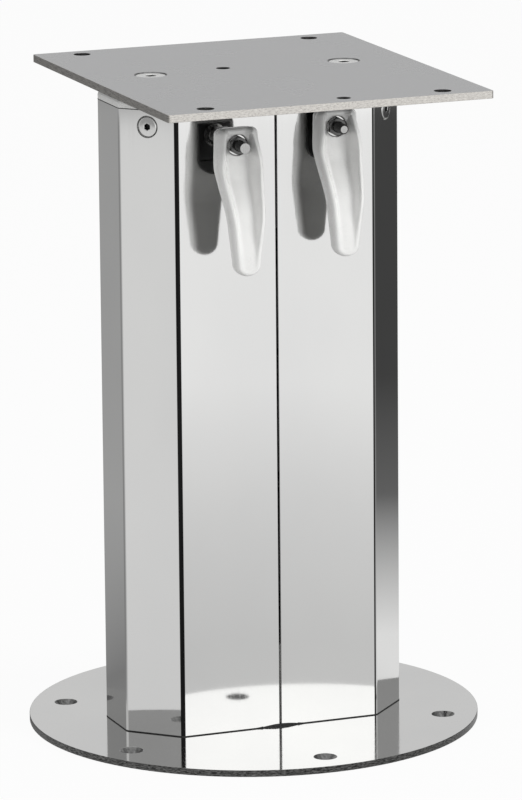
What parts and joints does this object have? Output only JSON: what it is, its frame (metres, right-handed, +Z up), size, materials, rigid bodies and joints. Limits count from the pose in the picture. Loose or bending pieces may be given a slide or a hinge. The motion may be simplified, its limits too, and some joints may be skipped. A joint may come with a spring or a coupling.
{
  "type": "height adjustable table leg",
  "caption": "Telescopic table leg: polished octagonal column on a round base plate, inner column that slides in a guide collar, lever clamps on the front and a flat plate for the table top.",
  "frame": {"origin": "middle of the base plate's underside, on the floor", "axes": "+Z up along the column, levers at the front on -Y, +X to the right seen from the front"},
  "size_m": [0.27, 0.27, 0.395],
  "materials": {
    "polished_steel": "mirror polished stainless steel",
    "satin_steel": "satin stainless steel",
    "guide_plastic": "moulded white acetal",
    "handle_plastic": "moulded white nylon",
    "hub_plastic": "moulded black nylon",
    "pad_brass": "turned brass"
  },
  "bodies": {
    "base": {"base_plate": "polished_steel", "outer_column": "polished_steel", "guide_collar": "guide_plastic", "collar_screws": "polished_steel", "screw_boss_left": "polished_steel", "screw_boss_right": "polished_steel", "pressure_pad_left": "pad_brass", "pressure_pad_right": "pad_brass"},
    "mast": {"inner_column": "satin_steel", "slide_shoe": "guide_plastic", "shoe_screws": "satin_steel", "top_block_left": "satin_steel", "top_block_right": "satin_steel", "top_plate": "satin_steel", "plate_screws": "polished_steel"},
    "lever_left": {"clamp_screw_left": "polished_steel", "hub_left": "hub_plastic", "handle_left": "handle_plastic", "lock_washer_left": "polished_steel", "lock_nut_left": "polished_steel"},
    "lever_right": {"clamp_screw_right": "polished_steel", "hub_right": "hub_plastic", "handle_right": "handle_plastic", "lock_washer_right": "polished_steel", "lock_nut_right": "polished_steel"}
  },
  "joints": [
    {"name": "mast_slide", "type": "slide", "parent": "base", "child": "mast", "axis": [0, 0, 1], "range_m": [0, 0.25]},
    {"name": "lever_left_turn", "type": "hinge", "parent": "base", "child": "lever_left", "pos_m": [-0.0325, -0.044, 0.362], "axis": [0, 1, 0], "range_deg": [0, 90]},
    {"name": "lever_right_turn", "type": "hinge", "parent": "base", "child": "lever_right", "pos_m": [0.0325, -0.044, 0.367], "axis": [0, -1, 0], "range_deg": [0, 90]}
  ]
}
